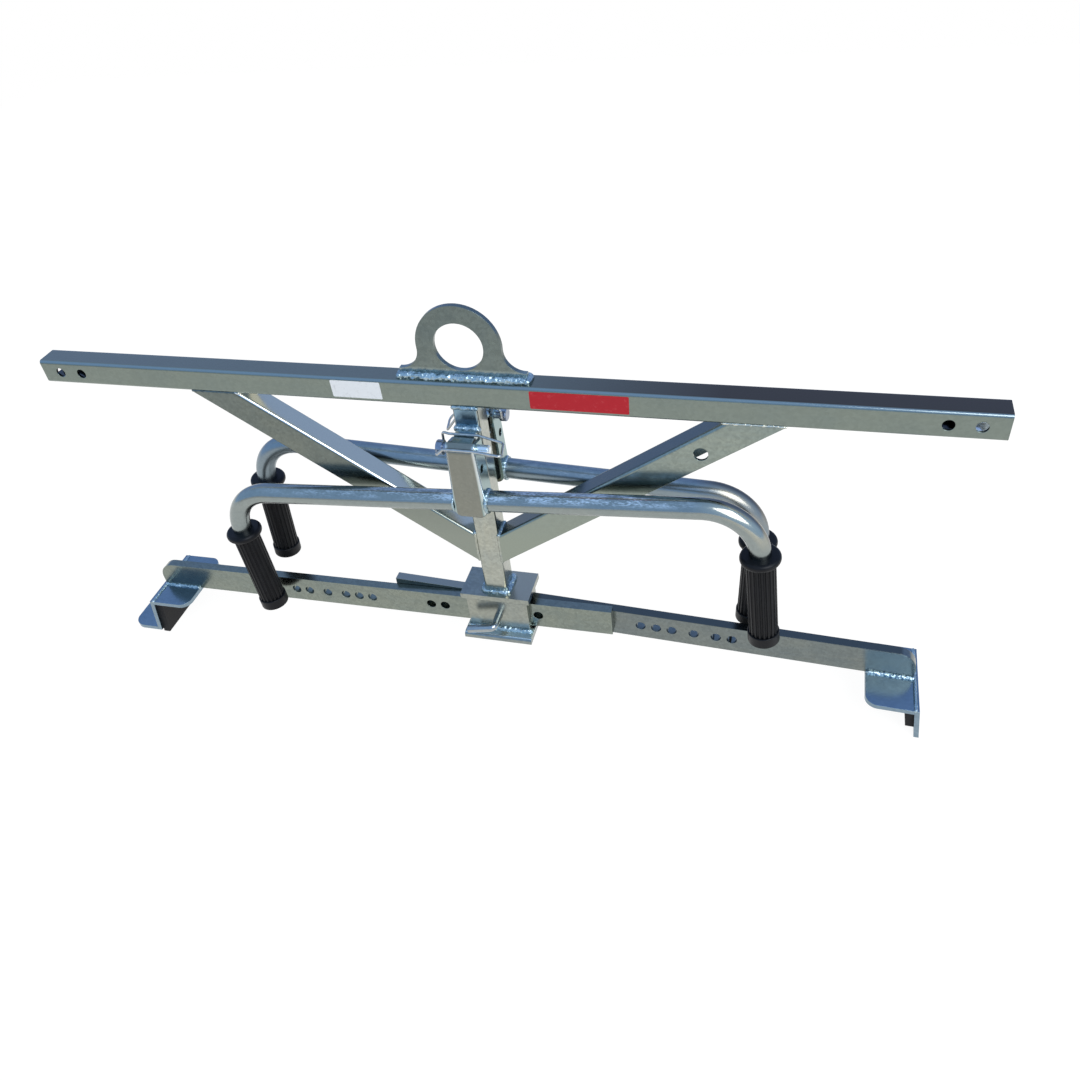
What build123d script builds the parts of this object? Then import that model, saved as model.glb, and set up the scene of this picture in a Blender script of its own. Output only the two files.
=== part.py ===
from build123d import *
import os
from math import cos, radians, sin, tan

# Kerb lifter for two people: a beam with a lifting eye, a braced mast, a saddle with two
# sliding arms and claws, and two pinned carrying handles. X runs along the beam, Y across it
# and Z up; the origin is the middle of the lifting eye's hole.

# Square tube of beam and mast
tube = 30.0
tube_wall = 3.0
tube_round = 4.0

# Beam
beam_len = 1095.0
end_hole_d = 12.0
end_hole_edge = 25.0
end_hole_pitch = 30.0

# Lifting eye
eye_hole_d = 56.0
eye_rim = 20.0
eye_thick = 6.0
eye_rise = 38.0
eye_base = 146.0
eye_step = 10.0
eye_flare = 24.0

# Mast and braces
mast_len = 280.0
brace_height = 35.0
brace_wall = 3.0
brace_round = 4.0
brace_reach = 312.0
brace_angle = 34.8
brace_hole_d = 16.0
brace_hole_at = 66.5
brace_hole_low = 2.2

# Saddle
saddle_len = 92.0
saddle_deep = 52.0
saddle_plate = 8.0
cheek_len = 82.0
sill_out = 16.0
sill_round = 5.0

# Arms, measured outward from the lock hole
arm_height = 40.0
arm_thick = 12.0
arm_out = 522.0
arm_in = 150.0
arm_gap = 0.4
arm_side_play = 0.4
arm_slip = 0.5
arm_room = 8.8
arm_hole_d = 13.0
tail_hole = 52.0
near_hole = 78.0
row_hole = 185.0
hole_pitch = 20.0
wide_pitch = 28.0
arm_nose_round = 25.0
arm_tail_round = 8.0
droop_left = 0.7
droop_right = 2.8

# Claws
foot_len = 56.0
foot_wide = 102.0
foot_plate = 6.0
foot_round = 15.0
end_plate = 6.0
end_lean = 10.0
end_drop_left = 60.0
end_drop_right = 47.0
lip_out = 42.0
lip_round = 18.0
pad_thick = 10.0
pad_margin = 4.0
pad_drop_left = 66.0
pad_drop_right = 33.0

# Lock pin of the arms
lock_d = 10.0
lock_stick_out = 22.0
lock_tail = 36.0
lock_tail_dip = 8.0
lock_bend = 6.0
lock_tip_back = 0.3

# Handle block on the mast and its pin
stub_wide = 24.0
stub_height = 25.0
stub_nose = 9.0
pin_d = 12.0
pin_drop = 39.2
pin_from_mast = 21.3
pin_past_cheek = 14.0
head_d = 17.0
head_thick = 8.0
head_gap = 5.5
head_round = 1.5
run_clear = 0.05

# Wire bow
wire_d = 3.0
wire_clear = 0.8
bow_bend = 4.0
bow_foot_bend = 2.2
bow_end_gap = 13.7
bow_end_skew = 5.0
bow_drop_front = 8.0
bow_drop_rear = 35.8
bow_front_rise = 9.2
bow_back_rise = 13.0
bow_back_in = 8.3
bow_foot_depth = 6.0

# Handle bracket
sheet = 4.0
web_gap = 0.7
bracket_top_wide = 33.4
bracket_flare = 7.6
bracket_foot = 89.8
bracket_deep = 28.0
bracket_round = 10.0
bend_round = 5.0
roll_stop = 62.0
cheek_cover = 2.7
cheek_low = 5.0
spare_hole_d = 10.0
spare_hole_drop = 26.0

# Handle tubes and grips
bar_d = 25.0
bar_wall = 2.5
bar_drop_front = 72.8
bar_drop_rear = 77.8
bar_inset = 0.5
reach_front_left = 332.0
reach_front_right = 323.0
reach_rear_left = 324.0
reach_rear_right = 318.0
leg_bend = 62.0
leg_splay = 1.3
slope_front = 3.7
slope_rear = 2.6
grip_len = 132.0
grip_d = 34.0
grip_below_bend = 0.5
stop_d = 46.0
stop_thick = 10.0
butt_d = 37.0
butt_len = 14.0
grip_floor = 6.0
rib_count = 20
rib_groove = 1.6

# Levels and widths that follow from the sizes above
half = tube / 2
beam_top = -eye_rise
beam_bottom = beam_top - tube
mast_bottom = beam_bottom - mast_len
droop_max = max(droop_left, droop_right)
slot_play = saddle_len / 2 * tan(radians(droop_max)) + arm_slip
slot_top = mast_bottom - saddle_plate
arm_tall = arm_height / cos(radians(droop_max))
slot_height = arm_tall + 2 * slot_play + arm_room
slot_bottom = slot_top - slot_height
slot_mid = (slot_top + slot_bottom) / 2
arm_level = slot_bottom + slot_play + arm_tall / 2
far_hole = row_hole + 2 * hole_pitch + 2 * wide_pitch
arm_holes = [-tail_hole, 0, near_hole, near_hole + hole_pitch]
arm_holes += [row_hole, row_hole + hole_pitch, row_hole + 2 * hole_pitch]
arm_holes += [far_hole - wide_pitch, far_hole, far_hole + hole_pitch]
slot_half = arm_gap / 2 + arm_thick + arm_side_play
saddle_face = slot_half + saddle_plate
pin_y = half + pin_from_mast
pin_z = beam_bottom - pin_drop
web_inner = pin_y + stub_nose + web_gap
web_outer = web_inner + sheet
knuckle = web_outer - pin_y
bracket_top = pin_z + knuckle
bracket_height = knuckle + bracket_foot
flare_per_mm = bracket_flare / bracket_height / 2
pin_half_wide = bracket_top_wide / 2 + flare_per_mm * knuckle
bar_y = web_outer - bar_d / 2 - bar_inset
reach_all = 2 * beam_len

os.makedirs("parts", exist_ok=True)


def save(solid, name):
    solid.label = name
    export_step(solid, f"parts/{name}.step")


# Beam: rounded square tube, drilled crosswise near both ends
with BuildPart() as top_beam:
    with BuildSketch(Plane.YZ.offset(-beam_len / 2)):
        with Locations((0, beam_top - half)):
            RectangleRounded(tube, tube, tube_round)
            Rectangle(tube - 2 * tube_wall, tube - 2 * tube_wall, mode=Mode.SUBTRACT)
    extrude(amount=beam_len)
    hole_x = beam_len / 2 - end_hole_edge
    with BuildSketch(Plane.XZ):
        for x in (hole_x, hole_x - end_hole_pitch):
            with Locations((x, beam_top - half), (-x, beam_top - half)):
                Circle(end_hole_d / 2)
    extrude(amount=tube, both=True, mode=Mode.SUBTRACT)
save(top_beam.part, "top_beam")

# Lifting eye: flat plate with a round head that flares into its welded base
with BuildPart() as lifting_eye:
    with BuildSketch(Plane.XZ) as eye_shape:
        Circle(eye_hole_d / 2 + eye_rim)
        with Locations((0, beam_top)):
            Rectangle(reach_all, reach_all, align=(Align.CENTER, Align.MAX), mode=Mode.SUBTRACT)
            Rectangle(eye_base, eye_step, align=(Align.CENTER, Align.MIN))
        necks = [v for v in eye_shape.vertices() if abs(v.Y - beam_top - eye_step) < 0.01]
        fillet([v for v in necks if abs(v.X) < eye_base / 2 - 1], eye_flare)
        Circle(eye_hole_d / 2, mode=Mode.SUBTRACT)
    extrude(amount=eye_thick / 2, both=True)
save(lifting_eye.part, "lifting_eye")

# Mast: rounded square tube between beam and saddle
with BuildPart() as mast:
    with BuildSketch(Plane.XY.offset(mast_bottom)):
        RectangleRounded(tube, tube, tube_round)
        Rectangle(tube - 2 * tube_wall, tube - 2 * tube_wall, mode=Mode.SUBTRACT)
    extrude(amount=mast_len)
save(mast.part, "mast")


# Brace: channel folded from sheet, open downwards, cut flush under the beam and at the mast
def make_brace(side, name, drilled):
    slope = radians(brace_angle)
    along = (-side * cos(slope), 0, -sin(slope))
    run = Plane(origin=(side * brace_reach, 0, beam_bottom), x_dir=(0, 1, 0), z_dir=along)
    with BuildPart() as brace:
        with BuildSketch(run) as channel:
            Rectangle(tube, brace_height)
            rows = channel.vertices().group_by(Axis.Y)
            fillet(rows[0] if side > 0 else rows[-1], brace_round)
            with Locations((0, side * brace_wall)):
                Rectangle(tube - 2 * brace_wall, brace_height, mode=Mode.SUBTRACT)
        extrude(amount=brace_reach / cos(slope), both=True)
        split(bisect_by=Plane.XY.offset(beam_bottom), keep=Keep.BOTTOM)
        mast_side = Plane(origin=(side * half, 0, 0), z_dir=(side, 0, 0))
        split(bisect_by=mast_side, keep=Keep.TOP)
        if drilled:
            hole_x = side * (brace_reach - brace_hole_at * cos(slope) + brace_hole_low * sin(slope))
            hole_z = beam_bottom - brace_hole_at * sin(slope) - brace_hole_low * cos(slope)
            with BuildSketch(Plane.XZ):
                with Locations((hole_x, hole_z)):
                    Circle(brace_hole_d / 2)
            extrude(amount=tube, both=True, mode=Mode.SUBTRACT)
    save(brace.part, name)


make_brace(-1, "brace_left", False)
make_brace(1, "brace_right", True)

# Saddle: four plates welded into a box that is open at both ends for the arms
with BuildPart() as saddle_top:
    with BuildSketch(Plane.XY.offset(slot_top)):
        Rectangle(saddle_len, saddle_deep)
    extrude(amount=saddle_plate)
save(saddle_top.part, "saddle_top")

with BuildPart() as saddle_front:
    with BuildSketch(Plane.XZ.offset(slot_half)):
        with Locations((0, slot_mid)):
            Rectangle(cheek_len, slot_height)
        with Locations((0, arm_level)):
            Circle(lock_d / 2 + run_clear, mode=Mode.SUBTRACT)
    extrude(amount=saddle_plate)
save(saddle_front.part, "saddle_front")

with BuildPart() as saddle_rear:
    with BuildSketch(Plane.XZ.offset(-slot_half)):
        with Locations((0, slot_mid)):
            Rectangle(cheek_len, slot_height)
        with Locations((0, arm_level)):
            Circle(lock_d / 2 + run_clear, mode=Mode.SUBTRACT)
    extrude(amount=-saddle_plate)
save(saddle_rear.part, "saddle_rear")

# Bottom plate: runs out in front of the saddle as a rounded sill
with BuildPart() as saddle_bottom:
    with BuildSketch(Plane.XY.offset(slot_bottom)):
        with Locations((0, saddle_deep / 2)):
            sill_deep = saddle_deep / 2 + saddle_face + sill_out
            Rectangle(saddle_len, sill_deep, align=(Align.CENTER, Align.MAX))
    extrude(amount=-saddle_plate)
    sill_edge = saddle_bottom.edges().filter_by(Axis.X).group_by(Axis.Y)[0].sort_by(Axis.Z)[-1]
    fillet(sill_edge, min(sill_round, saddle_plate * 0.9))
save(saddle_bottom.part, "saddle_bottom")


# Arm with its claw: the arm is a drilled flat bar that droops in the saddle's play. Below its
# end sit a foot plate, a leaning end plate and, on that plate's inner side, a rubber pad.
def make_arm(side, name, droop, end_drop, pad_drop, lipped):
    tilt = radians(droop)
    outward = (side * cos(tilt), 0, -sin(tilt))
    upright = (side * sin(tilt), 0, cos(tilt))
    profile = Plane(origin=(0, 0, arm_level), x_dir=outward, z_dir=(0, -side, 0))
    under = -arm_height / 2
    lean = tan(radians(end_lean))

    with BuildPart() as arm:
        with BuildSketch(profile.offset(-arm_gap / 2 - arm_thick)) as bar:
            with Locations(((arm_out - arm_in) / 2, 0)):
                Rectangle(arm_out + arm_in, arm_height)
            tail, nose = bar.vertices().group_by(Axis.Y)[-1].sort_by(Axis.X)
            fillet(nose, arm_nose_round)
            fillet(tail, arm_tail_round)
            with Locations(*[(x, 0) for x in arm_holes]):
                Circle(arm_hole_d / 2, mode=Mode.SUBTRACT)
        extrude(amount=arm_thick)
    save(arm.part, f"arm_{name}")

    with BuildPart() as foot:
        with BuildSketch(profile.offset(-foot_wide / 2)):
            with BuildLine():
                Polyline(
                    (arm_out - foot_len, under),
                    (arm_out, under),
                    (arm_out + foot_plate * lean, under - foot_plate),
                    (arm_out - foot_len, under - foot_plate),
                    close=True,
                )
            make_face()
        extrude(amount=foot_wide)
        inner_corners = foot.edges().filter_by(Axis((0, 0, 0), upright))
        fillet(inner_corners, foot_round)
    save(foot.part, f"foot_{name}")

    with BuildPart() as plate:
        with BuildSketch(profile.offset(-foot_wide / 2)):
            with BuildLine():
                Polyline(
                    (arm_out, under),
                    (arm_out + end_plate, under),
                    (arm_out + end_plate + end_drop * lean, under - end_drop),
                    (arm_out + end_drop * lean, under - end_drop),
                    close=True,
                )
            make_face()
        extrude(amount=foot_wide)
    save(plate.part, f"end_plate_{name}")

    with BuildPart() as pad:
        pad_wide = foot_wide - 2 * pad_margin
        pad_top = under - foot_plate
        pad_foot = under - pad_drop
        with BuildSketch(profile.offset(-pad_wide / 2)):
            with BuildLine():
                Polyline(
                    (arm_out + foot_plate * lean, pad_top),
                    (arm_out + foot_plate * lean - pad_thick, pad_top),
                    (arm_out + pad_drop * lean - pad_thick, pad_foot),
                    (arm_out + pad_drop * lean, pad_foot),
                    close=True,
                )
            make_face()
        extrude(amount=pad_wide)
    save(pad.part, f"pad_{name}")

    if lipped:
        with BuildPart() as lip:
            root = arm_out + end_plate
            lip_end = root + end_drop * lean + lip_out
            with BuildSketch(profile.offset(-foot_wide / 2)):
                with BuildLine():
                    Polyline(
                        (root + (end_drop - foot_plate) * lean, under - end_drop + foot_plate),
                        (lip_end, under - end_drop + foot_plate),
                        (lip_end, under - end_drop),
                        (root + end_drop * lean, under - end_drop),
                        close=True,
                    )
                make_face()
            extrude(amount=foot_wide)
            fillet(lip.edges().filter_by(Axis((0, 0, 0), upright)), lip_round)
        save(lip.part, f"lip_{name}")


make_arm(-1, "left", droop_left, end_drop_left, pad_drop_left, True)
make_arm(1, "right", droop_right, end_drop_right, pad_drop_right, False)

# Lock pin: straight shank through the saddle's front plate, with its end bent aside as a pull
with BuildPart() as lock_pin:
    with BuildLine() as lock_run:
        FilletPolyline(
            (0, -slot_half - lock_tip_back, arm_level),
            (0, -saddle_face - lock_stick_out, arm_level),
            (-lock_tail, -saddle_face - lock_stick_out, arm_level - lock_tail_dip),
            radius=lock_bend,
        )
    with BuildSketch(Plane(origin=lock_run.line @ 0, z_dir=lock_run.line % 0)):
        Circle(lock_d / 2)
    sweep()
save(lock_pin.part, "arm_lock_pin")


# Handle: drawn for the front of the mast and turned half round for the rear one
def make_handle(end, turn, slope, reaches, drop, bow_drop):
    bar_z = pin_z - drop

    def save_turned(piece, name):
        save(piece.part.rotate(Axis.Z, turn), f"{end}_{name}")

    # Block: welded to the mast, round at its nose and bored crosswise for the pin
    with BuildPart() as stub:
        with BuildSketch(Plane.YZ.offset(-stub_wide / 2)):
            with Locations((-pin_y, pin_z)):
                Circle(stub_nose)
            with Locations((-half, pin_z)):
                Rectangle(sheet, stub_height, align=(Align.MAX, Align.CENTER))
            make_hull()
            with Locations((-pin_y, pin_z)):
                Circle(pin_d / 2 + run_clear, mode=Mode.SUBTRACT)
        extrude(amount=stub_wide)
    save_turned(stub, "stub")

    # Room inside the bracket: runs round the block's nose and out towards the mast
    top_half = bracket_top_wide / 2
    foot_half = top_half + bracket_flare / 2
    foot_z = pin_z - bracket_foot
    rear = bracket_deep - web_outer
    with BuildPart() as room:
        with BuildSketch(Plane.XZ.offset(web_inner)) as inner:
            with BuildLine():
                Polyline(
                    (-top_half + sheet, bracket_top),
                    (top_half - sheet, bracket_top),
                    (foot_half - sheet, foot_z + sheet),
                    (-foot_half + sheet, foot_z + sheet),
                    close=True,
                )
            make_face()
            fillet(inner.vertices().group_by(Axis.Y)[0], bracket_round - sheet)
        extrude(amount=-bracket_deep)
        with BuildSketch(Plane.YZ) as room_side:
            with Locations((-web_inner, bracket_top - sheet)):
                Rectangle(bracket_deep, bracket_height, align=(Align.MIN, Align.MAX))
            fillet(room_side.vertices().group_by(Axis.X)[0].sort_by(Axis.Y)[-1], knuckle - sheet)
        extrude(amount=foot_half, both=True, mode=Mode.INTERSECT)

    # Bracket: folded sheet, wider at its foot, its top rolled back over the block's nose
    with BuildPart() as bracket:
        with BuildSketch(Plane.XZ.offset(web_outer)) as outer:
            with BuildLine():
                Polyline(
                    (-top_half, bracket_top),
                    (top_half, bracket_top),
                    (foot_half, foot_z),
                    (-foot_half, foot_z),
                    close=True,
                )
            make_face()
            fillet(outer.vertices().group_by(Axis.Y)[0], bracket_round)
        extrude(amount=-bracket_deep)
        front = bracket.faces().sort_by(Axis.Y)[0].edges()
        fillet([e for e in front if e.center().Z < bracket_top - 0.01], bend_round)
        with BuildSketch(Plane.YZ) as side_view:
            with Locations((-web_outer, bracket_top)):
                Rectangle(bracket_deep, bracket_height, align=(Align.MIN, Align.MAX))
            fillet(side_view.vertices().group_by(Axis.X)[0].sort_by(Axis.Y)[-1], knuckle)
        extrude(amount=foot_half, both=True, mode=Mode.INTERSECT)
        add(room.part, mode=Mode.SUBTRACT)
        near = pin_d / 2 + cheek_cover
        far = 2 * knuckle
        stop_y, stop_z = cos(radians(roll_stop)), sin(radians(roll_stop))
        with BuildSketch(Plane.YZ):
            with BuildLine():
                Polyline(
                    (-pin_y - near * stop_y, pin_z + near * stop_z),
                    (-pin_y - far * stop_y, pin_z + far * stop_z),
                    (rear, pin_z + far),
                    (rear, pin_z + cheek_low),
                    (-pin_y, pin_z + near),
                    close=True,
                )
            make_face()
            with Locations((-pin_y, pin_z)):
                Circle(pin_d / 2 + run_clear)
            with Locations((-pin_y, pin_z - spare_hole_drop)):
                Circle(spare_hole_d / 2)
        extrude(amount=foot_half, both=True, mode=Mode.SUBTRACT)
    save_turned(bracket, "bracket")

    # Pin: plain shank with a round head, cross-drilled for the bow's feet
    head_x = pin_half_wide + head_gap
    foot_x = -head_x - head_thick / 2
    tip_x = pin_half_wide + pin_past_cheek
    with BuildPart() as pin:
        with BuildSketch(Plane.YZ.offset(-head_x)):
            with Locations((-pin_y, pin_z)):
                Circle(pin_d / 2)
        extrude(amount=head_x + tip_x)
        chamfer(pin.edges().sort_by(Axis.X)[-1], pin_d / 8)
        with BuildSketch(Plane.YZ.offset(-head_x)):
            with Locations((-pin_y, pin_z)):
                Circle(head_d / 2)
        extrude(amount=-head_thick)
        fillet(pin.edges().sort_by(Axis.X)[0], head_round)
        with BuildSketch(Plane.XZ.offset(pin_y - head_d)):
            with Locations((foot_x, pin_z)):
                Circle(wire_d / 2 + run_clear)
        extrude(amount=2 * head_d, mode=Mode.SUBTRACT)
    save_turned(pin, "pin")

    # Bow: one wire from the head, over the block, round the pin's tip and back past the web
    back_y = -(pin_y - head_d / 2 - bow_foot_bend - wire_clear / 2)
    front_y = -(web_outer + wire_d / 2 + 2 * wire_clear)
    lay_y = -(pin_y - bow_back_in)
    back_z = pin_z + bow_back_rise
    front_z = pin_z + bow_front_rise
    end_x = tip_x + bow_end_gap
    end_z = back_z - bow_drop
    with BuildPart() as bow:
        with BuildLine() as bow_run:
            FilletPolyline(
                (foot_x, -pin_y + head_d / 2 - bow_foot_depth, pin_z),
                (foot_x, back_y, pin_z),
                (foot_x, back_y, back_z),
                (-pin_half_wide, lay_y, back_z),
                (pin_half_wide, lay_y, back_z),
                (end_x, lay_y, end_z),
                (end_x + bow_end_skew, front_y, end_z),
                (pin_half_wide, front_y, front_z),
                (-pin_half_wide, front_y, front_z),
                (foot_x, front_y, pin_z),
                (foot_x, -pin_y - head_d / 2 + bow_foot_depth, pin_z),
                radius=[bow_foot_bend] + 8 * [bow_bend],
            )
        with BuildSketch(Plane(origin=bow_run.line @ 0, z_dir=bow_run.line % 0)):
            Circle(wire_d / 2)
        sweep()
    save_turned(bow, "bow")

    # Handle bar: one bent tube each side, welded to the bracket's cheek and capped by a grip
    for side, name, reach in ((-1, "left", reaches[0]), (1, "right", reaches[1])):
        corner_z = bar_z + side * reach * tan(radians(slope))
        swing = slope + side * leg_splay
        leg_x, leg_z = sin(radians(swing)), -cos(radians(swing))
        grip_top = leg_bend * tan(radians(90 - leg_splay) / 2) + grip_below_bend
        grip_foot = grip_top + grip_len
        leg_end = grip_foot - grip_floor
        with BuildPart() as bar:
            with BuildLine() as bar_run:
                FilletPolyline(
                    (0, -bar_y, bar_z),
                    (side * reach, -bar_y, corner_z),
                    (side * reach + leg_end * leg_x, -bar_y, corner_z + leg_end * leg_z),
                    radius=leg_bend,
                )
            with BuildSketch(Plane(origin=bar_run.line @ 0, z_dir=bar_run.line % 0)):
                Circle(bar_d / 2)
                Circle(bar_d / 2 - bar_wall, mode=Mode.SUBTRACT)
            sweep()
            cheek_side = Plane(
                origin=(side * pin_half_wide, 0, pin_z),
                z_dir=(side, 0, flare_per_mm),
            )
            split(bisect_by=cheek_side, keep=Keep.TOP)
        save_turned(bar, f"tube_{name}")

        # Grip: rubber sleeve with a hand stop, lengthwise grooves and a closed, rounded butt
        with BuildPart() as grip:
            with BuildSketch(Plane.XZ) as grip_shape:
                Rectangle(grip_d / 2, grip_len, align=(Align.MIN, Align.MIN))
                with Locations((0, grip_len)):
                    Rectangle(stop_d / 2, stop_thick, align=(Align.MIN, Align.MAX))
                Rectangle(butt_d / 2, butt_len, align=(Align.MIN, Align.MIN))
                rim = grip_shape.vertices().group_by(Axis.X)[-1]
                fillet(rim, stop_thick * 0.45)
                low_end = grip_shape.vertices().filter_by(lambda v: v.Y < butt_len + 0.01)
                butt = low_end.group_by(Axis.X)[-1]
                heel, shoulder = butt.sort_by(Axis.Y)
                fillet(shoulder, (butt_d - grip_d) * 0.4)
                fillet(heel, butt_len * 0.5)
                with Locations((0, grip_floor)):
                    Rectangle(bar_d / 2, grip_len, align=(Align.MIN, Align.MIN), mode=Mode.SUBTRACT)
            revolve(axis=Axis.Z)
            with BuildSketch(Plane.XY.offset(butt_len)):
                with PolarLocations(grip_d / 2, rib_count):
                    Circle(rib_groove)
            extrude(amount=grip_len - butt_len - stop_thick, mode=Mode.SUBTRACT)
        grip_at = (side * reach + grip_foot * leg_x, -bar_y, corner_z + grip_foot * leg_z)
        grip.part.location = Location(grip_at, (0, -swing, 0))
        save_turned(grip, f"grip_{name}")


reach_front = (reach_front_left, reach_front_right)
reach_rear = (reach_rear_left, reach_rear_right)
make_handle("front", 0, slope_front, reach_front, bar_drop_front, bow_drop_front)
make_handle("rear", 180, slope_rear, reach_rear, bar_drop_rear, bow_drop_rear)
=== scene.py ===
import bpy
from math import cos, pi, radians, sin
from mathutils import Matrix, Vector


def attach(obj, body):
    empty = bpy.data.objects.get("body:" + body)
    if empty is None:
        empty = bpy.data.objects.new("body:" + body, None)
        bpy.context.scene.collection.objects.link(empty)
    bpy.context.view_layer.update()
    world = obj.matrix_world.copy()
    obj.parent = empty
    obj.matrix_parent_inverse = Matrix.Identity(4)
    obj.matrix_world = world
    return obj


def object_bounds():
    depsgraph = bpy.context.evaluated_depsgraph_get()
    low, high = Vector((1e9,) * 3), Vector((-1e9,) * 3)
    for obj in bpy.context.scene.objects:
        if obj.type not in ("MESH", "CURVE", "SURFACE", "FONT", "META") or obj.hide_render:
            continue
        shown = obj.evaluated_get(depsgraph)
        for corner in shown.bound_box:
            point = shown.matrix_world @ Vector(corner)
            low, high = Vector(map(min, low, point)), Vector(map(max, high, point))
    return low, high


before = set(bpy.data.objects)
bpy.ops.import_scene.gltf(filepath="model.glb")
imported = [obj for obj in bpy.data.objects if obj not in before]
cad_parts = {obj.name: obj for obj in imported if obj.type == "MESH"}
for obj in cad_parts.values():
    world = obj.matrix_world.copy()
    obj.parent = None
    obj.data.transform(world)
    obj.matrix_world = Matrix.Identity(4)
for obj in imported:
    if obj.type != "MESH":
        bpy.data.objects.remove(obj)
cad_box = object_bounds()


# Beam: a rounded square tube of mild steel, drilled near both ends and zinc-plated like all the
# steel work: a grey skin with drawn streaks, cloudy patches and faint warm and cool tints. Its top
# is dusty and painted darker to the right as a dark reflection, its rounded front edge painted pale
# blue as a sky reflection, its underside painted bright as lit, and its bore painted dark as shade
# but for the right end, which is painted lit.
class Signal:
    """A socket of a material; arithmetic on it adds Math nodes to the same tree."""

    def __init__(self, tree, socket=None):
        self.tree = tree
        self.socket = socket

    def node(self, kind, settings, sockets, out=0):
        made = self.tree.nodes.new("ShaderNode" + kind)
        for name, value in settings.items():
            if name == "stops":
                while len(made.color_ramp.elements) < len(value):
                    made.color_ramp.elements.new(1.0)
                for stop, (place, color) in zip(made.color_ramp.elements, value):
                    stop.position = place
                    stop.color = (*color, 1.0)
            else:
                setattr(made, name, value)
        for name, value in sockets.items():
            if isinstance(value, Signal):
                self.tree.links.new(value.socket, made.inputs[name])
            else:
                made.inputs[name].default_value = value
        return Signal(self.tree, made.outputs[out])

    def math(self, operation, first, second=0.0):
        return self.node("Math", {"operation": operation}, {0: first, 1: second})

    def axis(self, place, letter):
        return self.node("SeparateXYZ", {}, {"Vector": place}, letter)

    def noise(self, place, scale, detail, **more):
        return self.node("TexNoise", {}, {"Vector": place, "Scale": scale, "Detail": detail, **more}, "Fac")

    def mix(self, share, under, over, blend="MIX"):
        settings = {"data_type": "RGBA", "blend_type": blend}
        return self.node("Mix", settings, {"Factor": share, 6: under, 7: over}, 2)

    def rise(self, low, high):
        """0 up to low, 1 from high on; low may be the larger one."""
        return self.node("MapRange", {}, {"Value": self, "From Min": low, "From Max": high})

    def near_face(self, face, inward, fade):
        """1 on a face, 0 a little under it; inward is 1 or -1, the way into the steel."""
        under, full = fade
        return self.rise(face + inward * under, face + inward * full)

    def __abs__(self):
        return self.math("ABSOLUTE", self)

    def __add__(self, other):
        return self.math("ADD", self, other)

    def __radd__(self, other):
        return self.math("ADD", other, self)

    def __sub__(self, other):
        return self.math("SUBTRACT", self, other)

    def __rsub__(self, other):
        return self.math("SUBTRACT", other, self)

    def __mul__(self, other):
        return self.math("MULTIPLY", self, other)

    def __rmul__(self, other):
        return self.math("MULTIPLY", other, self)


def start_finish(name, metallic):
    made = bpy.data.materials.new(name)
    made.use_nodes = True
    shader = made.node_tree.nodes["Principled BSDF"]
    shader.inputs["Metallic"].default_value = metallic
    return made, shader, Signal(made.node_tree)


def end_finish(made, shader, color, roughness, normal):
    made.node_tree.links.new(color.socket, shader.inputs["Base Color"])
    made.node_tree.links.new(roughness.socket, shader.inputs["Roughness"])
    made.node_tree.links.new(normal.socket, shader.inputs["Normal"])
    return made


even_grain = (40.0, 40.0, 40.0)
cool_shift = (0.12, 0.09, 0.05)
warm_shift = (0.12, 0.09, 0.04)
rubbed_edge = 0.0009


def zinc_plate(name, tone, streak=even_grain, turn=0.0, gloss=0.1, mottle=1.0, marks_and_light=None):
    made, shader, on = start_finish(name, 1.0)
    place = on.node("TexCoord", {}, {}, "Object")
    along = on.node("Mapping", {}, {"Vector": place, "Rotation": (0.0, turn, 0.0), "Scale": streak})
    drawn = on.noise(along, 1.0, 5.0)
    cloud = on.noise(place, 22.0, 4.0, Distortion=0.6)
    tint = on.noise(place, 8.0, 2.0)
    grain = on.noise(place, 1300.0, 2.0)
    spangle = on.node("TexVoronoi", {}, {"Vector": place, "Scale": 320.0}, "Color")
    flake = on.node("SeparateColor", {}, {"Color": spangle}, "Red")
    cool = tuple(c * (1.0 - mottle * f) for c, f in zip(tone, cool_shift)) + (1.0,)
    warm = tuple(c * (1.0 + mottle * f) for c, f in zip(tone, warm_shift)) + (1.0,)
    patch = (0.42 * cloud + 0.28 * drawn + 0.3 * tint).rise(0.36, 0.64)
    skin = on.mix(0.10 * mottle, on.mix(patch, cool, warm), flake, "OVERLAY")
    # The marks add real dust and tone, and on many parts painted light and shade
    marked = marks_and_light(on, place, skin) if marks_and_light else skin
    roughness = gloss + mottle * (0.09 * cloud + 0.07 * drawn) + 0.05 * grain
    wear_and_highlight = on.node("Bevel", {"samples": 4}, {"Radius": rubbed_edge})
    bump = on.node("Bump", {}, {"Strength": 0.3 * mottle, "Distance": 0.00005,
                                "Height": drawn + 0.5 * grain, "Normal": wear_and_highlight})
    return end_finish(made, shader, marked, roughness, bump)


def dress(finish, *names):
    for name in names:
        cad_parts[name].data.materials.clear()
        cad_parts[name].data.materials.append(finish)


beam_half = 0.015
beam_top, beam_under = -0.038, -0.068
bore_half, bore_fade = 0.0121, 0.0004
edge_from, edge_full = 0.0030, 0.0022
darken_from, darken_full = 0.03, 0.28
lit_from, lit_full = 0.498, 0.525
thin_fade = (0.0008, 0.0001)
drawn_along = (7.0, 150.0, 150.0)
top_dust = (0.300, 0.285, 0.215, 1)
# Painted dark reflection on the beam's top, growing towards the right end
top_dark_reflection = (0.105, 0.080, 0.062, 1)
# Painted sky reflection on the rounded edge between top and front
edge_sky_reflection = (0.270, 0.325, 0.345, 1)
# Painted light on the beam's underside
under_painted_light = (0.62, 0.66, 0.64, 1)
# Painted shade deep in the bore, painted light at its right end
bore_shade = (0.045, 0.050, 0.055, 1)
bore_lit = (0.92, 0.95, 0.95, 1)


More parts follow.
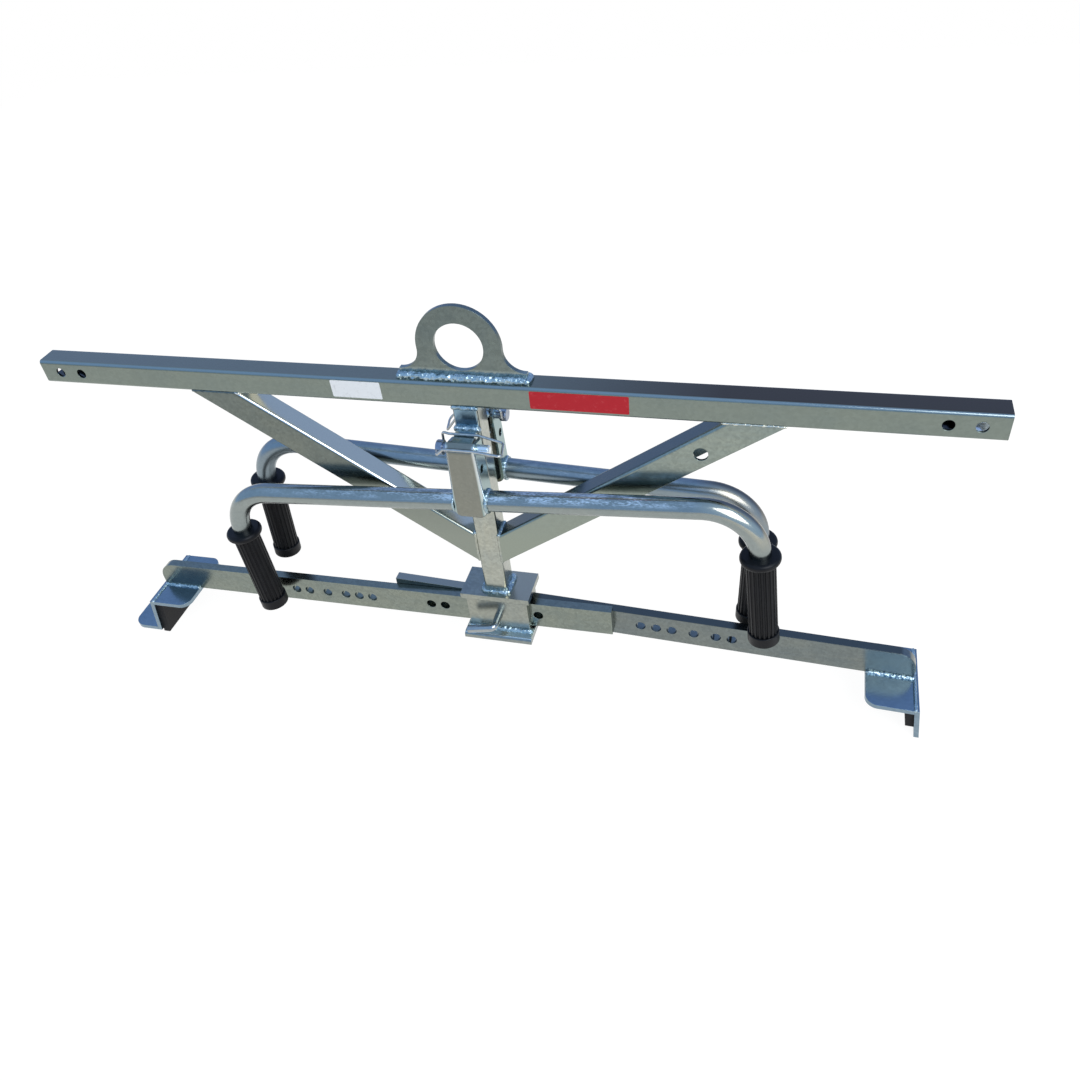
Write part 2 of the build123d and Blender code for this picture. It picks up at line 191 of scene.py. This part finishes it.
def beam_dust_and_light(on, place, skin):
    along, across, level = (on.axis(place, letter) for letter in "XYZ")
    top = level.near_face(beam_top, -1, thin_fade)
    dusty = on.mix(0.6 * top, skin, top_dust)
    darkened = on.mix(0.95 * top * along.rise(darken_from, darken_full), dusty, top_dark_reflection)
    corner = beam_top + beam_half
    edge = (level - across).rise(corner - edge_from, corner - edge_full)
    edged = on.mix(edge, darkened, edge_sky_reflection)
    underlit = on.mix(level.near_face(beam_under, 1, thin_fade), edged, under_painted_light)
    bore = abs(across).rise(bore_half + bore_fade, bore_half)
    bore = bore * abs(level - 0.5 * (beam_top + beam_under)).rise(bore_half + bore_fade, bore_half)
    inside = on.mix(along.rise(lit_from, lit_full), bore_shade, bore_lit)
    return on.mix(bore, underlit, inside)


zinc_beam = zinc_plate("zinc_beam", (0.205, 0.240, 0.215), drawn_along, gloss=0.12, mottle=0.5,
                       marks_and_light=beam_dust_and_light)
dress(zinc_beam, "top_beam")


# Labels: two plain foil stickers on the beam's front face, a red one right of the eye and a
# white one left of it. Both are left bare; the foil is thin, slightly glossy and scuffed.
def sticker_foil(name, color, scuffed):
    made, shader, on = start_finish(name, 0.0)
    place = on.node("TexCoord", {}, {}, "Object")
    scuff = on.noise(place, 160.0, 6.0, Roughness=0.7)
    wave = on.noise(place, 55.0, 2.0)
    wear_and_highlight = on.node("ValToRGB", {"stops": ((0.56, (0, 0, 0)), (0.72, (1, 1, 1)))}, {"Fac": scuff})
    roughness = 0.42 + 0.25 * scuff
    bump = on.node("Bump", {}, {"Strength": 0.4, "Distance": 0.0002, "Height": wave + 0.2 * scuff})
    shader.inputs["Specular IOR Level"].default_value = 0.25
    return end_finish(made, shader, on.mix(wear_and_highlight, color, scuffed), roughness, bump)


foil_round, foil_thick, foil_sunk = 0.0015, 0.0003, 0.0001


def lay_sticker(name, left, right, low, high, finish):
    bpy.ops.object.select_all(action="DESELECT")
    bpy.ops.mesh.primitive_plane_add(size=1.0, location=(0, 0, 0), rotation=(pi / 2, 0, 0))
    foil = bpy.context.object
    foil.name = name
    foil.scale = (right - left, high - low, 1.0)
    bpy.ops.object.transform_apply(location=False, rotation=True, scale=True)
    bpy.ops.object.mode_set(mode="EDIT")
    bpy.ops.mesh.select_all(action="SELECT")
    bpy.ops.mesh.bevel(offset=foil_round, segments=5, affect="VERTICES")
    bpy.ops.mesh.extrude_region_move(TRANSFORM_OT_translate={"value": (0, -foil_thick, 0)})
    bpy.ops.mesh.select_all(action="SELECT")
    bpy.ops.mesh.normals_make_consistent(inside=False)
    bpy.ops.object.mode_set(mode="OBJECT")
    foil.location = ((left + right) / 2, -beam_half + foil_sunk, (low + high) / 2)
    bpy.ops.object.transform_apply(location=True, rotation=True, scale=True)
    foil.data.materials.append(finish)
    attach(foil, "frame")


red_foil = sticker_foil("red_foil", (0.41, 0.012, 0.022, 1), (0.50, 0.06, 0.07, 1))
white_foil = sticker_foil("white_foil", (0.74, 0.78, 0.82, 1), (0.60, 0.63, 0.66, 1))
lay_sticker("red_label", left=0.0765, right=0.1840, low=-0.0632, high=-0.0418, finish=red_foil)
lay_sticker("white_label", left=-0.1560, right=-0.0955, low=-0.0630, high=-0.0415, finish=white_foil)

# Lifting eye: flame-cut from flat plate, a round head that flares into a long base. It stands
# on the beam's top, painted paler along its foot as painted light against the shade beside the
# bead, and is welded along both sides, with a heavy blob where each bead ends.
foot_light_from, foot_light_full = 0.0125, 0.0085
foot_light = (0.38, 0.44, 0.42, 1)


def eye_foot_light(on, place, skin):
    foot = on.axis(place, "Z").rise(beam_top + foot_light_from, beam_top + foot_light_full)
    return on.mix(0.9 * foot, skin, foot_light)


zinc_eye = zinc_plate("zinc_eye", (0.168, 0.200, 0.188), gloss=0.16, marks_and_light=eye_foot_light)
dress(zinc_eye, "lifting_eye")
weld_dark, weld_pale = (0.22, 0.32, 0.36), (0.52, 0.62, 0.64)


def weld_metal(name):
    made, shader, on = start_finish(name, 1.0)
    place = on.node("TexCoord", {}, {}, "Object")
    ripple = on.noise(place, 700.0, 3.0)
    heat = on.noise(place, 90.0, 2.0)
    tone = on.node("ValToRGB", {"stops": ((0.35, weld_dark), (0.65, weld_pale))},
                   {"Fac": 0.5 * ripple + 0.5 * heat})
    roughness = 0.17 + 0.24 * ripple
    bump = on.node("Bump", {}, {"Strength": 0.7, "Distance": 0.0004, "Height": ripple})
    return end_finish(made, shader, tone, roughness, bump)


weld = weld_metal("zinc_weld")
uneven = bpy.data.textures.new("uneven_bead", "CLOUDS")
uneven.noise_scale = 0.0035
# Shares of a bead's width: the step from drop to drop, the voxels, the swelling and the jitter
drop_step, voxel, swelling, jitter = 0.30, 0.11, 0.35, 0.02


def run_together(bead, width, seed):
    skin = bead.modifiers.new("skin", "REMESH")
    skin.mode = "VOXEL"
    skin.voxel_size = voxel * width
    bpy.ops.object.modifier_apply(modifier="skin")
    swell = bead.modifiers.new("swell", "DISPLACE")
    swell.texture = uneven
    swell.strength = swelling * width
    bpy.ops.object.modifier_apply(modifier="swell")
    bpy.ops.object.mode_set(mode="EDIT")
    bpy.ops.mesh.select_all(action="SELECT")
    bpy.ops.transform.vertex_random(offset=jitter * width, uniform=0.3, normal=0.7, seed=seed)
    bpy.ops.object.mode_set(mode="OBJECT")
    bpy.ops.object.shade_smooth()


def lay_bead(name, start, end, width, seed, body, finish=weld):
    run = Vector(end) - Vector(start)
    count = max(2, round(run.length / (drop_step * width)) + 1)
    bpy.ops.object.select_all(action="DESELECT")
    bpy.ops.mesh.primitive_ico_sphere_add(subdivisions=2, radius=width / 2, location=start)
    bead = bpy.context.object
    bead.name = name
    row = bead.modifiers.new("row", "ARRAY")
    row.use_relative_offset = False
    row.use_constant_offset = True
    row.constant_offset_displace = run / (count - 1)
    row.count = count
    bpy.ops.object.modifier_apply(modifier="row")
    run_together(bead, width, seed)
    bpy.ops.object.transform_apply(location=True, rotation=True, scale=True)
    bead.data.materials.append(finish)
    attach(bead, body)


eye_half, eye_reach = 0.003, 0.073
bead_x, bead_y, bead_z = eye_reach - 0.004, eye_half + 0.0022, beam_top + 0.0020
for side, out in (("front", -1), ("rear", 1)):
    lay_bead(f"eye_bead_{side}", (-bead_x, out * bead_y, bead_z), (bead_x, out * bead_y, bead_z),
             width=0.0106, seed=11 + out, body="frame")
blob_y, blob_z = eye_half + 0.003, beam_top + 0.0012
for side, x in (("left", -eye_reach), ("right", eye_reach)):
    lay_bead(f"eye_blob_{side}", (x, -blob_y, blob_z), (x, blob_y, blob_z),
             width=0.0095, seed=21, body="frame")

# Mast and braces: the mast is the beam's tube again, its front face painted bluer near the top as a
# reflection. The braces are channels folded from sheet, open downwards, cut flush and welded
# under the beam and to the mast's sides.
# The places of the lettering cut into them are left plain.
mast_half, mast_foot = beam_half, -0.348
reflection_from, reflection_full = -0.098, -0.090
deep_fade = (0.0012, 0.0002)
drawn_upright = (150.0, 150.0, 7.0)
mast_sky_reflection = (0.190, 0.325, 0.430, 1)


# Painted reflection: the mast's front face bluer near its top
def mast_reflection(on, place, skin):
    face = on.axis(place, "Y").near_face(-mast_half, 1, deep_fade)
    return on.mix(0.85 * face * on.axis(place, "Z").rise(reflection_from, reflection_full), skin, mast_sky_reflection)


zinc_mast = zinc_plate("zinc_mast", (0.380, 0.395, 0.345), drawn_upright, marks_and_light=mast_reflection)
dress(zinc_mast, "mast")
brace_slope, brace_reach, brace_high = radians(34.8), 0.312, 0.0175
brace_fade = (0.0010, 0.0002)
fold_low, fold_high, fold_fade = 0.0154, 0.0172, 0.0004
fold_from, fold_full = -0.205, -0.195
front_from, front_full = -0.0105, -0.0125
pale_from, pale_full = -0.15, -0.26
# Painted highlight along the left brace's upper fold
fold_highlight = (0.95, 0.95, 0.93, 1)


# Painted light and shade on the braces: the left brace's top is painted pale as sunlit, the right brace's
# top painted dark as shade; both are paler lower down.
def brace_light_and_tone(way, top_light_and_shade, low_tone, wear_and_highlight):
    def marks_and_light(on, place, skin):
        along, across, level = (on.axis(place, letter) for letter in "XYZ")
        above = sin(brace_slope) * (brace_reach - way * along) + cos(brace_slope) * (level - beam_under)
        fold = above.rise(fold_low, fold_low + fold_fade) * above.rise(fold_high, fold_high - fold_fade)
        fold = fold * across.rise(front_from, front_full) * level.rise(fold_from, fold_full)
        paler = on.mix(level.rise(pale_from, pale_full), skin, low_tone)
        capped = on.mix(0.8 * above.near_face(brace_high, -1, brace_fade), paler, top_light_and_shade)
        return on.mix(wear_and_highlight * fold, capped, fold_highlight)
    return marks_and_light


left_brace_light = brace_light_and_tone(-1, top_light_and_shade=(0.78, 0.74, 0.60, 1), low_tone=(0.262, 0.288, 0.250, 1), wear_and_highlight=0.9)
right_brace_light = brace_light_and_tone(1, top_light_and_shade=(0.105, 0.122, 0.120, 1), low_tone=(0.280, 0.314, 0.266, 1), wear_and_highlight=0.0)
zinc_brace_left = zinc_plate("zinc_brace_left", (0.160, 0.182, 0.165), drawn_along, -brace_slope,
                             marks_and_light=left_brace_light)
zinc_brace_right = zinc_plate("zinc_brace_right", (0.258, 0.298, 0.268), drawn_along, brace_slope,
                              marks_and_light=right_brace_light)
dress(zinc_brace_left, "brace_left")
dress(zinc_brace_right, "brace_right")
brace_in, brace_out = 0.2813, 0.3427
brace_top, brace_low = -0.2531, -0.2957
mast_run, brace_run = 0.013, 0.012
mast_bead_y, brace_bead_y = mast_half - 0.0012, mast_half - 0.0016
mast_bead_z, throat_z = beam_under - 0.0005, beam_under - 0.0004
for name, y in (("front", -mast_bead_y), ("rear", mast_bead_y)):
    lay_bead(f"mast_top_bead_{name}", (-mast_run, y, mast_bead_z), (mast_run, y, mast_bead_z),
             width=0.0055, seed=31, body="frame")
for name, way in (("left", -1), ("right", 1)):
    x = way * brace_in
    lay_bead(f"brace_{name}_throat_bead", (x, -brace_run, throat_z), (x, brace_run, throat_z),
             width=0.0050, seed=35, body="frame", finish=zinc_brace_left)
    x = way * (mast_half + 0.0004)
    lay_bead(f"brace_{name}_mast_bead", (x, -brace_run, brace_top), (x, brace_run, brace_top),
             width=0.0060, seed=37, body="frame")
    x = way * mast_half
    for face, y in (("front", -brace_bead_y), ("rear", brace_bead_y)):
        lay_bead(f"brace_{name}_{face}_bead", (x, y, brace_top), (x, y, brace_low),
                 width=0.0042, seed=41, body="frame", finish=zinc_mast)
        lay_bead(f"brace_{name}_{face}_top_bead", (way * brace_in, y, beam_under),
                 (way * brace_out, y, beam_under),
                 width=0.0032, seed=43, body="frame", finish=zinc_brace_left)

# Saddle: four thick plates welded into a box, open at both ends for the arms. The top plate is
# welded round the mast's foot and painted paler on the right as lit, and the bottom one runs out
# in front as a rounded sill whose upper face is painted bright as lit.
saddle_light_tone = (0.50, 0.45, 0.34, 1)


def saddle_top_light(on, place, skin):
    top = on.axis(place, "Z").near_face(mast_foot, -1, thin_fade)
    right = on.axis(place, "X").rise(-mast_half, mast_half)
    return on.mix(0.8 * top * right, skin, saddle_light_tone)


zinc_saddle = zinc_plate("zinc_saddle", (0.300, 0.318, 0.282), gloss=0.13, marks_and_light=saddle_top_light)
dress(zinc_saddle, "saddle_top", "saddle_front", "saddle_rear")
saddle_roof, saddle_floor = -0.356, -0.41035
# Painted light on the sill's upper face
sill_light_tone = (0.86, 0.92, 0.90, 1)


def sill_top_light(on, place, skin):
    return on.mix(on.axis(place, "Z").near_face(saddle_floor, -1, deep_fade), skin, sill_light_tone)


zinc_sill = zinc_plate("zinc_sill", (0.250, 0.280, 0.270), gloss=0.13, marks_and_light=sill_top_light)
dress(zinc_sill, "saddle_bottom")
saddle_face, saddle_half = 0.0206, 0.041
foot_run, foot_face, foot_z = 0.014, mast_half + 0.0008, mast_foot + 0.0008
for name, way in (("left", -1), ("right", 1)):
    x = way * foot_face
    lay_bead(f"mast_foot_bead_{name}", (x, -foot_run, foot_z), (x, foot_run, foot_z),
             width=0.0095, seed=51, body="frame")
for name, way in (("front", -1), ("rear", 1)):
    y = way * foot_face
    lay_bead(f"mast_foot_bead_{name}", (-foot_run, y, foot_z), (foot_run, y, foot_z),
             width=0.0085, seed=53, body="frame")
    y = way * saddle_face
    lay_bead(f"saddle_{name}_upper_bead", (-saddle_half, y, saddle_roof), (saddle_half, y, saddle_roof),
             width=0.0055, seed=55, body="frame", finish=zinc_saddle)
    lay_bead(f"saddle_{name}_lower_bead", (-saddle_half, y, saddle_floor), (saddle_half, y, saddle_floor),
             width=0.0080, seed=57, body="frame")

# Blocks: the two lugs that carry the handle pins, cut from solid bar, round at the nose, bored
# across and welded to the mast's front and rear face all round their root.
zinc_block = zinc_plate("zinc_block", (0.440, 0.500, 0.490), gloss=0.08)
dress(zinc_block, "front_stub", "rear_stub")
block_half, block_middle, block_rise = 0.012, -0.1072, 0.0125
block_top, block_low = block_middle + block_rise, block_middle - block_rise
for name, way in (("front", -1), ("rear", 1)):
    y = way * (mast_half + 0.0006)
    lay_bead(f"{name}_block_top_bead", (-block_half, y, block_top), (block_half, y, block_top),
             width=0.0085, seed=61, body="frame")
    lay_bead(f"{name}_block_low_bead", (-block_half, y, block_low), (block_half, y, block_low),
             width=0.0045, seed=63, body="frame")

# Arms: two drilled flat bars that slide past each other in the saddle, each drooping a little
# outwards. The front one carries the left claw, the rear one the right claw; the rear one is
# painted darker as shade, and its top is paler left of the saddle and darker right of it.
arm_top, arm_low = -0.3675, -0.4076
left_droop, right_droop = 0.012218, 0.048909
arm_fade = (0.0010, 0.0003)
dull_from, dull_full = -0.05, 0.05
arm_pale = (0.36, 0.36, 0.31, 1)
arm_top_dark = (0.098, 0.110, 0.104, 1)


def arm_top_tones(on, place, skin):
    along = on.axis(place, "X")
    top = (on.axis(place, "Z") + right_droop * along).near_face(arm_top, -1, arm_fade)
    return on.mix(0.9 * top, skin, on.mix(along.rise(dull_from, dull_full), arm_pale, arm_top_dark))


# The rear arm's tone is painted darker than the front one's, as shade
zinc_arm_left = zinc_plate("zinc_arm_left", (0.218, 0.246, 0.216), drawn_along, gloss=0.12)
zinc_arm_right = zinc_plate("zinc_arm_right", (0.176, 0.200, 0.195), drawn_along, gloss=0.12,
                            marks_and_light=arm_top_tones)
dress(zinc_arm_left, "arm_left")
dress(zinc_arm_right, "arm_right")

# Claws: a foot plate under each arm's end, a leaning end plate and, on the left, an outward lip,
# all of thin plate with rounded corners, welded to the arm and to each other.
zinc_claw = zinc_plate("zinc_claw", (0.215, 0.290, 0.350), gloss=0.15, mottle=0.6)
dress(zinc_claw, "foot_left", "foot_right", "end_plate_left", "end_plate_right", "lip_left")
foot_inner, foot_outer, claw_half = 0.468, 0.5215, 0.049
arm_faces = {"left": (-0.0122, -0.0002), "right": (0.0002, 0.0122)}
for name, way, droop in (("left", -1, left_droop), ("right", 1, right_droop)):
    low_in = arm_low - droop * foot_inner
    low_out = arm_low - droop * foot_outer
    for face, y in zip(("front", "rear"), arm_faces[name]):
        lay_bead(f"foot_{name}_{face}_bead", (way * foot_inner, y, low_in),
                 (way * (foot_outer - 0.002), y, low_out),
                 width=0.0075, seed=71, body=f"{name}_arm")
    x, z = way * (foot_outer + 0.0005), low_out - 0.0006
    lay_bead(f"claw_{name}_bead", (x, -claw_half, z), (x, claw_half, z),
             width=0.0050, seed=73, body=f"{name}_arm")


# Pads: plain black rubber blocks glued to the inner side of the end plates, where they bite.
# The rubber is dull, grey with dust on its high spots.
def black_rubber(name, dark, dusty, sheen):
    made, shader, on = start_finish(name, 0.0)
    place = on.node("TexCoord", {}, {}, "Object")
    fine = on.noise(place, 1500.0, 2.0)
    dust = on.noise(place, 70.0, 5.0)
    settled = on.node("ValToRGB", {"stops": ((0.45, (0, 0, 0)), (0.8, (1, 1, 1)))}, {"Fac": dust})
    roughness = sheen + 0.22 * dust
    bump = on.node("Bump", {}, {"Strength": 0.35, "Distance": 0.00012, "Height": fine + 0.4 * dust})
    shader.inputs["Specular IOR Level"].default_value = 0.2
    return end_finish(made, shader, on.mix(settled, dark, dusty), roughness, bump)


pad_rubber = black_rubber("pad_rubber", dark=(0.006, 0.006, 0.007, 1), dusty=(0.022, 0.021, 0.020, 1),
                          sheen=0.5)
dress(pad_rubber, "pad_left", "pad_right")

# Lock pin: a round bar bent over at its end as a pull, pushed through the saddle's front plate
# into the arms. Drawn steel, plated, polished bright by use.
pin_steel = zinc_plate("pin_steel", (0.33, 0.36, 0.37), streak=(160.0, 20.0, 160.0), gloss=0.06, mottle=0.6)
dress(pin_steel, "arm_lock_pin")

# Handle brackets: folded from sheet, wider at the foot, the top rolled back over the block.
# They hang on the pins; their upright folds carry a painted highlight and their cheeks are painted greener
# as a reflection.
fold_lean, fold_in, fold_out = 0.0367, 0.0094, 0.0116
web_from, web_full = 0.0445, 0.0465
cheek_from, cheek_full = 0.0150, 0.0165
# Painted reflection on the bracket's cheeks
cheek_reflection = (0.310, 0.430, 0.430, 1)
web_fold_highlight = (0.78, 0.81, 0.80, 1)


def bracket_light(on, place, skin):
    across, deep, level = (on.axis(place, letter) for letter in "XYZ")
    fold = (abs(across) + fold_lean * level).rise(fold_in, fold_out) * abs(deep).rise(web_from, web_full)
    cheek = abs(across).rise(cheek_from, cheek_full)
    return on.mix(0.65 * fold, on.mix(0.8 * cheek, skin, cheek_reflection), web_fold_highlight)


zinc_bracket = zinc_plate("zinc_bracket", (0.228, 0.234, 0.203), streak=(60.0, 60.0, 12.0), gloss=0.18,
                          mottle=0.5, marks_and_light=bracket_light)
dress(zinc_bracket, "front_bracket", "rear_bracket")

# Handle bars: smooth round tube, bent down at both ends and welded to the bracket's cheeks with a
# bead run all round the tube. The upper side of the straight runs carries painted highlight flecks;
# the right-hand bends carry a painted pale highlight on the outside and painted shade along the crest.
bar_out, bend_radius = 0.037, 0.062
front_level, front_rise = -0.1800, 0.0639
rear_level, rear_rise = -0.1850, -0.0455
front_bend, rear_bend = (0.2668, -bar_out, -0.2254), (0.2601, bar_out, -0.2589)
# Pairs of places where the highlight flecks, the bend highlight and the crest shade begin to show and are
# full
upper_side, left_run, right_run = (0.0055, 0.0090), (-0.32, 0.03), (0.27, 0.20)
highlight_along, highlight_up, highlight_out = (-0.012, 0.022), (0.015, 0.045), (0.001, 0.006)
crest_front, crest_rear = (-0.0050, 0.0005), (0.0105, 0.0065)
crest_along, crest_out = (-0.020, 0.015), (0.002, 0.006)
# Painted highlight of the flecks
fleck_highlight = (0.80, 0.84, 0.86, 1)
# Painted shade along the crest of the right-hand bends
crest_shade = (0.080, 0.080, 0.080, 1)


def bar_light(level, rise, share, bend, bend_highlight):
    bend_x, bend_y, bend_z = bend

    def marks_and_light(on, place, skin):
        across, deep, height = (on.axis(place, letter) for letter in "XYZ")
        longer = on.node("Mapping", {}, {"Vector": place, "Scale": (0.25, 1.0, 1.0)})
        wear_and_highlight = (0.55 * on.noise(longer, 950.0, 3.0) + 0.45 * on.noise(longer, 160.0, 1.0)).rise(0.47, 0.60)
        upper = (height - rise * across - level).rise(*upper_side)
        straight = across.rise(*left_run) * across.rise(*right_run)
        flecked = on.mix(share * wear_and_highlight * upper * straight, skin, fleck_highlight)
        off_x, off_y, off_z = across - bend_x, deep - bend_y, height - bend_z
        outside = on.math("SQRT", off_x * off_x + off_z * off_z) - bend_radius
        highlight_mask = off_x.rise(*highlight_along) * off_z.rise(*highlight_up) * outside.rise(*highlight_out)
        highlighted = on.mix(0.9 * highlight_mask, flecked, bend_highlight)
        crest = off_y.rise(*crest_front) * off_y.rise(*crest_rear)
        crest = crest * off_x.rise(*crest_along) * outside.rise(*crest_out)
        return on.mix(0.8 * crest, highlighted, crest_shade)
    return marks_and_light


bar_grain = (9.0, 120.0, 120.0)
# The bend tones are painted highlights on the outside of the right-hand bends
front_bar_light = bar_light(front_level, front_rise, 0.8, front_bend, bend_highlight=(0.450, 0.440, 0.360, 1))
rear_bar_light = bar_light(rear_level, rear_rise, 0.2, rear_bend, bend_highlight=(0.340, 0.315, 0.260, 1))
zinc_front_bar = zinc_plate("zinc_front_bar", (0.270, 0.304, 0.296), bar_grain, gloss=0.13,
                            mottle=0.4, marks_and_light=front_bar_light)
zinc_rear_bar = zinc_plate("zinc_rear_bar", (0.225, 0.276, 0.305), bar_grain, gloss=0.24,
                           mottle=0.4, marks_and_light=rear_bar_light)
dress(zinc_front_bar, "front_tube_left", "front_tube_right")
dress(zinc_rear_bar, "rear_tube_left", "rear_tube_right")


def ring_bead(name, middle, radius, width, seed, body):
    bpy.ops.object.select_all(action="DESELECT")
    bpy.ops.mesh.primitive_ico_sphere_add(subdivisions=2, radius=width / 2, location=(0, 0, 0))
    bead = bpy.context.object
    bead.name = name
    bpy.ops.object.mode_set(mode="EDIT")
    bpy.ops.mesh.select_all(action="SELECT")
    bpy.ops.transform.translate(value=(0, 0, radius))
    bpy.ops.mesh.spin(steps=48, dupli=True, angle=2 * pi, center=(0, 0, 0), axis=(1, 0, 0))
    bpy.ops.mesh.select_all(action="SELECT")
    bpy.ops.mesh.remove_doubles(threshold=0.000001)
    bpy.ops.mesh.normals_make_consistent(inside=False)
    bpy.ops.object.mode_set(mode="OBJECT")
    run_together(bead, width, seed)
    bead.location = middle
    bpy.ops.object.transform_apply(location=True, rotation=True, scale=True)
    bead.data.materials.append(weld)
    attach(bead, body)


cheek_out, ring_radius = 0.0202, 0.0126
handles = (("front", -1, front_level, front_rise), ("rear", 1, rear_level, rear_rise))
for end, way, level, rise in handles:
    for name, side, width in (("left", -1, 0.0030), ("right", 1, 0.0050)):
        middle = (side * cheek_out, way * bar_out, level + side * rise * cheek_out)
        ring_bead(f"{end}_tube_bead_{name}", middle, ring_radius, width, 81, f"{end}_handle")

# Grips: moulded black rubber sleeves pushed over the tube's ends, with a hand stop above,
# lengthwise grooves and a closed butt. A little glossier than the pads.
grip_rubber = black_rubber("grip_rubber", dark=(0.0025, 0.0028, 0.0038, 1), dusty=(0.007, 0.0075, 0.009, 1),
                           sheen=0.3)
dress(grip_rubber, "front_grip_left", "front_grip_right", "rear_grip_left", "rear_grip_right")

# Handle pins and their bows: turned steel pins with a round head and a paler shank, held by a
# bow of hard drawn wire that is hooked into the head and snaps over the pin's tip.
head_end, shank_start = -0.0185, -0.0165
shank_pale = (0.74, 0.80, 0.82, 1)


def shank_wear(way):
    def marks_and_light(on, place, skin):
        return on.mix((way * on.axis(place, "X")).rise(head_end, shank_start), skin, shank_pale)
    return marks_and_light


wire_steel = zinc_plate("wire_steel", (0.46, 0.47, 0.46), streak=(90.0, 90.0, 90.0), gloss=0.06)
for end, way in (("front", 1), ("rear", -1)):
    turned = zinc_plate(f"turned_{end}_pin", (0.25, 0.29, 0.36), gloss=0.1, marks_and_light=shank_wear(way))
    dress(turned, f"{end}_pin")
    dress(wire_steel, f"{end}_bow")

# Floor: a plain pale ground under the claws. To the eye it is white and keeps a faint shadow; the
# metal sees it white near by and duller further off.
white_share, white_within, dull_beyond = 0.85, 0.70, 1.05
bpy.ops.object.select_all(action="DESELECT")
bpy.ops.mesh.primitive_plane_add(size=6.0, location=(0, 0, cad_box[0][2]))
floor = bpy.context.object
floor.name = "floor"
pale = bpy.data.materials.new("pale_floor")
pale.use_nodes = True
ground = Signal(pale.node_tree)
seen = ground.node("LightPath", {}, {}, "Is Camera Ray")
gleam = ground.node("LightPath", {}, {}, "Is Glossy Ray")
through = ground.node("LightPath", {}, {}, "Is Transmission Ray")
matt = ground.node("BsdfDiffuse", {}, {"Color": (0.88, 0.87, 0.84, 1)})
white = ground.node("Emission", {}, {"Color": (1, 1, 1, 1), "Strength": 1.10})
place = ground.node("TexCoord", {}, {}, "Object")
near = abs(ground.axis(place, "Y")).rise(dull_beyond, white_within)
shown = white_share * (seen + through + gleam * near)
paper = ground.node("MixShader", {}, {0: shown, 1: matt, 2: white})
pale.node_tree.links.new(paper.socket, pale.node_tree.nodes["Material Output"].inputs["Surface"])
floor.data.materials.append(pale)

# Light: an even surround that the metal sees as sky, bright and cool in front and deeper blue
# behind, and one broad softbox in front on the right.
sky_front, sky_behind = (0.46, 0.69, 1.06), (0.31, 0.45, 0.78)
fill_tone = (0.50, 0.52, 0.55, 1)
world = bpy.data.worlds.new("studio")
bpy.context.scene.world = world
world.use_nodes = True
air = Signal(world.node_tree)
facing = air.axis(air.node("TexCoord", {}, {}, "Generated"), "Y")
dome = air.node("ValToRGB", {"stops": ((0.50, sky_front), (0.82, sky_behind))},
                {"Fac": 0.5 * facing + 0.5})
even = air.mix(air.node("LightPath", {}, {}, "Is Diffuse Ray"), dome, fill_tone)
sky = air.mix(air.node("LightPath", {}, {}, "Is Camera Ray"), even, (1, 1, 1, 1))
world.node_tree.links.new(sky.socket, world.node_tree.nodes["Background"].inputs["Color"])
world.node_tree.nodes["Background"].inputs["Strength"].default_value = 1.0
key_place, key_aim = Vector((2.69, -2.50, 2.73)), Vector((0.3, 0, -0.17))
bpy.ops.object.light_add(type="AREA", location=key_place)
key = bpy.context.object
key.name = "key_softbox"
key.data.shape = "RECTANGLE"
key.data.size = 3.2
key.data.size_y = 3.2
key.data.energy = 150.0
key.rotation_euler = (key_aim - key_place).to_track_quat("-Z", "Y").to_euler()
key.visible_camera = False

# Camera: at the photograph's angle, above and in front of the right handle, looking down to the
# left and tilted a little, with a slightly wide lens. The colours are shown without a film look.
bpy.ops.object.camera_add(location=(0.3501, -0.8181, 0.4773))
camera = bpy.context.object
camera.data.sensor_fit = "HORIZONTAL"
camera.data.sensor_width = 36.0
camera.data.lens = 30.94
turn = Matrix.Rotation(radians(19.33), 4, "Z")
pitch = Matrix.Rotation(radians(90 - 40.6), 4, "X")
roll = Matrix.Rotation(radians(-7.23), 4, "Z")
camera.rotation_euler = (turn @ pitch @ roll).to_euler()
bpy.context.scene.camera = camera
bpy.context.scene.view_settings.view_transform = "Standard"
